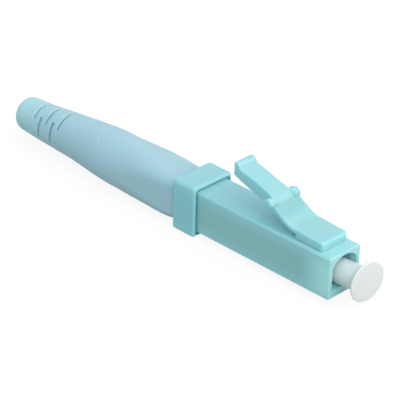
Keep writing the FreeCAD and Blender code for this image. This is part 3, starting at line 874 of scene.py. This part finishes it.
@dataclass
class StrainBoot:
    """Boot: squarish at the collar, round and slotted towards the cable."""
    material: bpy.types.Material
    columns: int = 540
    girth: tuple[tuple[float, float], ...] = (
        (21.4, 2.31), (22.0, 2.39), (22.7, 2.47), (23.3, 2.52), (24.2, 2.59), (26.2, 2.72),
        (28.6, 2.86), (31.0, 2.97), (32.98, 2.95), (34.63, 2.84), (36.4, 2.67), (38.26, 2.5),
        (40.3, 2.36), (43.0, 2.17), (46.4, 1.95))
    droop: tuple[tuple[float, float], ...] = (       # soft, so never quite straight
        (21.4, 0.0), (23.3, -0.04), (24.5, 0.0), (26.0, 0.05), (28.6, 0.03), (31.0, 0.02),
        (34.5, 0.09), (38.0, 0.09), (41.0, 0.0), (43.5, -0.1), (46.9, -0.1))
    squareness: tuple[tuple[float, float], ...] = (
        (21.4, 0.4), (22.7, 0.42), (24.2, 0.5), (26.2, 0.64), (28.6, 0.84), (31.0, 1.0),
        (33.0, 1.0), (46.55, 1.0))
    tail_start: float = 46.4        # where the tail's rounded end starts
    tail_power: float = 0.8         # how full its round is
    tail_short: float = 0.12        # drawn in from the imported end
    mouth: float = 1.17
    bore: float = 1.05              # for the cable
    cavity: float = 1.545           # around the cam
    socket: float = 1.975           # on the retainer's barrel
    socket_end: float = 25.7
    cavity_end: float = 33.0
    taper_end: float = 35.0
    slot_first: float = 44.08       # the ring nearest the tail
    slot_pitch: float = 1.03
    slot_rows: int = 5
    slot_width: float = 0.4
    slot_wall: tuple[tuple[float, float], ...] = (   # distance into a slot, share of its depth
        (-0.12, 0.0), (-0.03, 0.0), (0.0, 0.05), (0.025, 0.3), (0.04, 1.0))
    slot_ramp: float = 3.0          # degrees over which a slot's ends rise
    slot_start: float = -4.0        # degrees from +Z, towards -Y
    slot_span: float = 66.0
    slot_turn: float = 51.0         # from one row to the next
    slot_floor: float = 1.3         # radius left under a slot
    gate: tuple[float, float] = (33.35, 130.5)      # station and angle of the gate's mark
    gate_radius: float = 0.22
    gate_depth: float = 0.07
    gate_near: float = 0.35         # the rows are closer within this of the gate
    rim: float = 0.1                # round of the front edge
    front: float = field(init=False)
    rear: float = field(init=False)
    angles: np.ndarray = field(init=False)

    def __post_init__(self) -> None:
        """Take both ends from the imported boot."""
        low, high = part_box("boot")
        self.front, self.rear = -float(high.x) / MM, -float(low.x) / MM - self.tail_short
        self.angles = around(self.columns)

    def outline(self, station: float, inset: float = 0.0) -> np.ndarray:
        """Outline at a station, moved inwards, with the gate's shallow round mark in it.

        At a distance d from the gate the mark is gate_depth (1 - 3 u^2 + 2 u^3) deep, with u
        rising from 0 at 0.7 of its radius to 1 at its rim.

        Args:
            station: Where it is.
            inset: How far it is moved.

        Returns:
            One radius for each angle.
        """
        at = np.array([station])
        half = float(smooth(at, self.girth)[0]) - inset
        share = min(float(smooth(at, self.squareness)[0]), 0.999)
        round_way = half * (self.angles - math.radians(self.gate[1]))
        d = np.hypot(station - self.gate[0], round_way) / self.gate_radius
        u = np.clip((d - 0.7) / 0.3, 0.0, 1.0)
        return (rounded(self.angles, half, half, half * share)
                - self.gate_depth * (1 - 3 * u ** 2 + 2 * u ** 3))

    def cut(self, row: int) -> np.ndarray:
        """Share of the slots' depth: 1 inside a row's two slots, 0 elsewhere, with short ramps.

        Args:
            row: Number of the row, from the tail.

        Returns:
            One share for each angle.
        """
        degrees = np.degrees(self.angles) - 90.0 - self.slot_start - self.slot_turn * (row % 2)
        into = np.mod(degrees, 180.0)
        ramp = self.slot_ramp
        return np.clip(into / ramp, 0.0, 1.0) * np.clip((self.slot_span - into) / ramp, 0.0, 1.0)

    def slot(self, row: int) -> list[tuple[float, np.ndarray]]:
        """Rows across one ring of slots, from its front lip to its rear lip.

        Args:
            row: Number of the ring, from the tail.

        Returns:
            Station and outline of each row.
        """
        middle = self.slot_first - self.slot_pitch * row
        half = self.slot_width / 2
        steps = [(-half + into, share) for into, share in self.slot_wall]
        steps += [(half - into, share) for into, share in self.slot_wall[::-1]]
        rows = []
        for shift, share in steps:
            outer = self.outline(middle + shift)
            depth = (outer - self.slot_floor) * share * self.cut(row)
            rows.append((middle + shift, outer - depth))
        return rows

    def outer_rows(self) -> list[tuple[float, np.ndarray]]:
        """Rows from the collar back to the cable's mouth.

        Along the tail's rounded end the station goes as sin a, and the radius falls to the
        mouth's as cos(a)^0.8.

        Returns:
            Station and outline of each row.
        """
        e = self.rim
        rows = [(self.front + e * (1 - math.sin(a)),
                 self.outline(self.front, e * (1 - math.cos(a)))) for a in ROUND[::-1]]
        last_slot = self.slot_first - self.slot_pitch * (self.slot_rows - 1)
        before, after = self.gate[0] - self.gate_near, self.gate[0] + self.gate_near
        stations = np.concatenate([np.linspace(self.front + e + 0.05, before - 0.1, 32),
                                   np.linspace(before, after, 21),
                                   np.linspace(after + 0.1, last_slot - 0.4, 16)])
        rows += [(s, self.outline(s)) for s in stations]
        for row in range(self.slot_rows - 1, -1, -1):
            rows += self.slot(row)
        rows += [(s, self.outline(s))
                 for s in np.linspace(self.slot_first + 0.4, self.tail_start, 6)]
        radius = float(smooth(np.array([self.tail_start]), self.girth)[0])
        for a in np.linspace(0.12, math.pi / 2, 14):
            station = self.tail_start + (self.rear - self.tail_start) * math.sin(a)
            size = self.mouth + (radius - self.mouth) * math.cos(a) ** self.tail_power
            rows.append((station, size * np.ones_like(self.angles)))
        return rows

    def inner_rows(self) -> list[tuple[float, np.ndarray]]:
        """Rows from the cable's mouth forward through the bore, cavity and socket.

        Returns:
            Station and outline of each row.
        """
        ones = np.ones_like(self.angles)
        profile = ((self.rear - 0.06, self.bore + 0.02), (self.rear - 0.2, self.bore),
                   (self.taper_end, self.bore), (self.cavity_end, self.cavity),
                   (self.socket_end + SETTLE, self.cavity), (self.socket_end, self.cavity),
                   (self.socket_end, self.socket), (self.socket_end - SETTLE, self.socket),
                   (self.front + SETTLE, self.socket), (self.front, self.socket))
        return [(s, r * ones) for s, r in profile]

    def build(self) -> list[bpy.types.Object]:
        """Make the boot, with its axis bent up and down along the droop's curve.

        Returns:
            The piece made.
        """
        points = along_fibre(self.angles, self.outer_rows() + self.inner_rows())
        points[..., 2] += smooth(-points[..., 0], self.droop)
        boot = skin("boot_sleeve", points, loop=True)
        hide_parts("boot")
        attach(boot, "boot")
        dress(boot, self.material)
        return [boot]


@dataclass
class DustCap:
    """Soft cap on the ferrule: a tube that flares into a disc to pull it by."""
    material: bpy.types.Material
    columns: int = 180
    disc: float = 2.19
    thick: float = 0.3              # of the disc
    dome: float = 0.06              # how far its face bulges
    tube: float = 1.33
    tube_round: float = 0.12        # round of the tube's end
    flare_long: float = 0.8
    flare_wide: float = 0.55
    flare_power: float = 1.6        # how hollow the flare is
    lean_start: float = 1.0         # X past which the cap leans
    lean: float = -6.0              # the disc's lean towards -Y, in degrees
    shift: tuple[float, float] = (0.17, 0.2)        # of the disc, along Y and Z
    bore: float = 0.645
    bore_end: float = -2.15
    bore_rows: int = 7              # rows of the profile that are in the bore
    front: float = field(init=False)
    rear: float = field(init=False)

    def __post_init__(self) -> None:
        """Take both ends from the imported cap."""
        low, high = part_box("dust_cap")
        self.front, self.rear = -float(high.x) / MM, -float(low.x) / MM

    def profile(self) -> np.ndarray:
        """Half section from the disc's centre round the cap and up its bore to the axis.

        The disc's face is a shallow dome and its rim half an ellipse. Past the disc's back the
        flare's radius is the tube's and flare_wide (1 - v)^flare_power more, with v the share
        of the flare's length.

        Returns:
            Station and radius of each row.
        """
        half = self.thick / 2
        across = np.linspace(0.0, 1.0, 12)[:-1]
        face = np.stack([self.front + self.dome * across ** 2, (self.disc - half) * across], -1)
        turn = np.linspace(-math.pi / 2, math.pi / 2, 15)
        rim = np.stack([self.front + self.dome + (half - self.dome / 2) * (1 + np.sin(turn)),
                        self.disc - half + half * np.cos(turn)], -1)
        back = self.front + self.thick
        sweep = np.linspace(0.0, math.pi / 2, 16)
        hollow = (1 - np.sin(sweep)) ** self.flare_power
        flare = np.stack([back + self.flare_long * np.sin(sweep),
                          self.tube + self.flare_wide * hollow], -1)
        end = np.stack([self.rear - self.tube_round * (1 - np.sin(ROUND)),
                        self.tube - self.tube_round * (1 - np.cos(ROUND))], -1)
        inside = np.array([[self.rear, self.bore + 0.06], [self.rear - 0.05, self.bore],
                           [self.rear - 0.1, self.bore], [0.0, self.bore],
                           [self.bore_end + 0.05, self.bore], [self.bore_end, self.bore - 0.03],
                           [self.bore_end, 0.0]])
        return np.concatenate([face, rim, flare, end, inside])

    def bent(self, points: np.ndarray, outside: int) -> np.ndarray:
        """Lean the soft disc over, as a cap that was pushed on by hand has it.

        Ahead of the ferrule's tip the share t rises as 3 u^2 - 2 u^3 from 0 to 1. A point moves
        by t times the shift, and turns by t times the lean about the upright line through there.

        Args:
            points: Rows by columns by XYZ.
            outside: Number of rows that are on the outside; the bore's rows stay.

        Returns:
            The moved points.
        """
        start, full = self.lean_start, -self.front - self.thick
        u = np.clip((points[..., 0] - start) / (full - start), 0.0, 1.0)
        t = 3 * u ** 2 - 2 * u ** 3
        t[outside:] = 0.0
        turn = np.radians(self.lean) * t
        ahead, side = points[..., 0] - full, points[..., 1].copy()
        moved = points.copy()
        moved[..., 0] = full + ahead * np.cos(turn) - side * np.sin(turn)
        moved[..., 1] = ahead * np.sin(turn) + side * np.cos(turn) + self.shift[0] * t
        moved[..., 2] += self.shift[1] * t
        return moved

    def build(self) -> list[bpy.types.Object]:
        """Make the cap.

        Returns:
            The piece made.
        """
        angles = around(self.columns)
        profile = self.profile()
        rows = [(float(s), r * np.ones_like(angles)) for s, r in profile]
        points = self.bent(along_fibre(angles, rows), len(profile) - self.bore_rows)
        cap = skin("dust_cap_skin", points, loop=False)
        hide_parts("dust_cap")
        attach(cap, "cap")
        dress(cap, self.material)
        return [cap]


@dataclass
class FerruleTrain:
    """Ferrule, holder, splice and cam inside the plug, and the spring behind them."""
    wire: float = 0.115             # half its thickness
    coil: float = 1.578             # from the axis to the wire's centre
    turns: int = 7                  # besides the closed end turns
    around_turn: int = 48           # rows to a turn
    around_wire: int = 14
    finishes: dict[str, Moulding | Metal] = field(default_factory=lambda: {
        "ferrule": ZIRCONIA, "fibre_stub": SILICA, "ferrule_holder": HOLDER_PEI,
        "splice_base": SPLICE_LCP, "splice_cover": SPLICE_LCP, "cam_sleeve": CAM_POM})

    def spring_points(self, first: float, last: float) -> np.ndarray:
        """Points of the spring: a round wire along a helix with a closed turn at each end.

        The wire's centre is (-station, R cos, R sin) of the winding angle, and its section is
        a circle between the radial direction and the axis.

        Args:
            first: Station of the front end.
            last: Station of the rear end.

        Returns:
            Rows by columns by XYZ.
        """
        pitch_closed = 2 * self.wire
        turn = np.linspace(0.0, self.turns + 2.0, (self.turns + 2) * self.around_turn + 1)
        closed = np.minimum(turn, 1.0) + np.maximum(turn - self.turns - 1.0, 0.0)
        opened = np.clip(turn - 1.0, 0.0, self.turns)
        free = last - first - 2 * pitch_closed - 2 * self.wire
        station = first + self.wire + closed * pitch_closed + opened * free / self.turns
        wind = 2 * math.pi * turn[:, None]
        section = around(self.around_wire)[None, :]
        radius = self.coil + self.wire * np.cos(section)
        x = -station[:, None] - self.wire * np.sin(section)
        return np.stack([x, radius * np.cos(wind), radius * np.sin(wind)], axis=-1)

    def build(self) -> list[bpy.types.Object]:
        """Make the spring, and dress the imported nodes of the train.

        Returns:
            The piece made.
        """
        low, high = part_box("ferrule_spring")
        first, last = -float(high.x) / MM, -float(low.x) / MM
        spring = skin("spring_coil", self.spring_points(first, last), loop=False)
        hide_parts("ferrule_spring")
        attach(spring, "plug")
        dress(spring, SPRING_WIRE.material())
        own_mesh(spring)
        made = {finish.name: finish.material()
                for finish in dict.fromkeys(self.finishes.values())}
        for node, finish in self.finishes.items():
            dress_node(node, made[finish.name])
        return [spring]


@dataclass
class RearFittings:
    """Retainer, crimp tube and lead-in tube, hidden in the boot until it is pulled back."""
    finishes: dict[str, Moulding | Metal] = field(default_factory=lambda: {
        "spring_retainer": RETAINER_PBT, "crimp_tube": NICKEL_BRASS, "lead_in_tube": GUIDE_PA})

    def build(self) -> list[bpy.types.Object]:
        """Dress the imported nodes.

        Returns:
            No piece.
        """
        for node, finish in self.finishes.items():
            dress_node(node, finish.material())
        return []


# ---- studio ----

@dataclass(frozen=True)
class Sun:
    """Wide soft sun lamp."""
    name: str
    strength: float
    comes_from: tuple[float, float, float]
    spread: float               # degrees across
    tint: tuple[float, float, float]

    def light(self) -> None:
        """Add the lamp to the scene."""
        data = bpy.data.lights.new(self.name, "SUN")
        data.energy = self.strength
        data.angle = math.radians(self.spread)
        data.color = self.tint
        lamp = bpy.data.objects.new(self.name, data)
        lamp.rotation_euler = Vector(self.comes_from).to_track_quat("Z", "Y").to_euler()
        bpy.context.collection.objects.link(lamp)


@dataclass
class Studio:
    """White floor and surround, soft light and the camera."""
    ambient: float = 0.45
    ambient_tint: tuple[float, ...] = (0.78, 1.0, 1.04, 1.0)
    suns: tuple[Sun, ...] = (
        Sun("key", 1.85, (0.77, 0.0, 0.64), 80.0, (1.24, 0.99, 0.93)),
        Sun("near_side", 0.58, (0.3, -0.7, 0.65), 60.0, (0.75, 1.0, 1.03)),
        Sun("far_side", 0.25, (0.0, 0.8, 0.6), 60.0, (1.0, 1.0, 1.0)))
    floor_size: float = 3.0         # metres from its middle to an edge
    floor_drop: float = 0.02        # below the object
    floor_glow: float = 0.885       # as it is looked at: its own light
    floor_tone: float = 0.14        # and its colour, which takes the shadow
    board_tone: float = 0.4         # its colour for the light that it throws back
    azimuth: float = 44.0
    elevation: float = 29.82
    roll: float = 1.389
    distance: float = 227.0
    target: tuple[float, float, float] = (-14.0, 0.0, 0.0)
    off_axis: tuple[float, float] = (4.318, -2.14)
    lens: float = 199.26

    def surround(self) -> None:
        """Even light all round, and white where the camera or a reflection looks past it."""
        world = bpy.data.worlds.new("white_surround")
        world.use_nodes = True
        tree = world.node_tree
        tree.nodes.clear()
        light = add(tree, "ShaderNodeBackground",
                    {"Color": self.ambient_tint, "Strength": self.ambient})
        white = add(tree, "ShaderNodeBackground", {"Color": (1, 1, 1, 1), "Strength": 1.0})
        both = add(tree, "ShaderNodeMixShader", None,
                   {0: seen_plainly(tree), 1: light.outputs[0], 2: white.outputs[0]})
        add(tree, "ShaderNodeOutputWorld", None, {"Surface": both.outputs[0]})
        bpy.context.scene.world = world

    def floor(self) -> None:
        """White floor under the object, which keeps a soft shadow."""
        size, height = self.floor_size, float(CAD_BOX[0].z) - self.floor_drop * MM
        mesh = bpy.data.meshes.new("floor")
        mesh.from_pydata([(-size, -size, height), (size, -size, height), (size, size, height),
                          (-size, size, height)], [], [(0, 1, 2, 3)])
        floor = bpy.data.objects.new("floor", mesh)
        bpy.context.collection.objects.link(floor)
        made = empty_material("white_board")
        tree = made.node_tree
        matt = add(tree, "ShaderNodeBsdfDiffuse", {"Color": (self.floor_tone,) * 3 + (1.0,)})
        glow = add(tree, "ShaderNodeEmission", {"Strength": self.floor_glow})
        shown = add(tree, "ShaderNodeAddShader", None, {0: matt.outputs[0], 1: glow.outputs[0]})
        board = add(tree, "ShaderNodeBsdfDiffuse", {"Color": (self.board_tone,) * 3 + (1.0,)})
        both = add(tree, "ShaderNodeMixShader", None,
                   {0: seen_plainly(tree), 1: board.outputs[0], 2: shown.outputs[0]})
        add(tree, "ShaderNodeOutputMaterial", None, {"Surface": both.outputs[0]})
        floor.data.materials.append(made)

    def camera(self) -> None:
        """Camera at its azimuth, elevation and roll, aimed a little off the target."""
        a, e, r = (math.radians(v) for v in (self.azimuth, self.elevation, self.roll))
        right = np.array([math.cos(a), math.sin(a), 0.0])
        back = np.array([math.sin(a) * math.cos(e), -math.cos(a) * math.cos(e), math.sin(e)])
        up = np.cross(back, right)
        turn = np.array([[math.cos(r), math.sin(r), 0], [-math.sin(r), math.cos(r), 0], [0, 0, 1]])
        axes = turn @ np.array([right, up, back])
        shift = np.array([-self.off_axis[0], -self.off_axis[1], self.distance])
        data = bpy.data.cameras.new("camera")
        data.sensor_width, data.lens = 36.0, self.lens
        data.clip_start, data.clip_end = 0.005, 10.0
        camera = bpy.data.objects.new("camera", data)
        place = (np.array(self.target) + axes.T @ shift) * MM
        matrix = Matrix([list(row) for row in axes.T]).to_4x4()
        matrix.translation = Vector(place)
        camera.matrix_world = matrix
        bpy.context.collection.objects.link(camera)
        bpy.context.scene.camera = camera

    def build(self) -> list[bpy.types.Object]:
        """Set up the studio.

        Returns:
            No piece of the object.
        """
        bpy.context.scene.view_settings.view_transform = "Standard"
        self.surround()
        self.floor()
        for sun in self.suns:
            sun.light()
        self.camera()
        return []


def main() -> None:
    """Build the studio and every sub-assembly in order."""
    logging.basicConfig(level=logging.INFO, format="%(name)s: %(message)s")
    steps: tuple[tuple[str, Assembly], ...] = (
        ("studio", Studio()),
        ("plug housing", PlugHousing(AQUA_PBT.material())),
        ("latch", Latch(AQUA_PBT_THIN.material())),
        ("strain boot", StrainBoot(AQUA_TPE.material())),
        ("dust cap", DustCap(NATURAL_LDPE.material())),
        ("ferrule train", FerruleTrain()),
        ("rear fittings", RearFittings()))
    for label, assembly in steps:
        pieces = assembly.build()
        made = ["%s (%d faces)" % (piece.name, len(piece.data.polygons)) for piece in pieces]
        LOG.info("%s: %s", label, ", ".join(made) or "done")


if __name__ == "__main__":
    main()
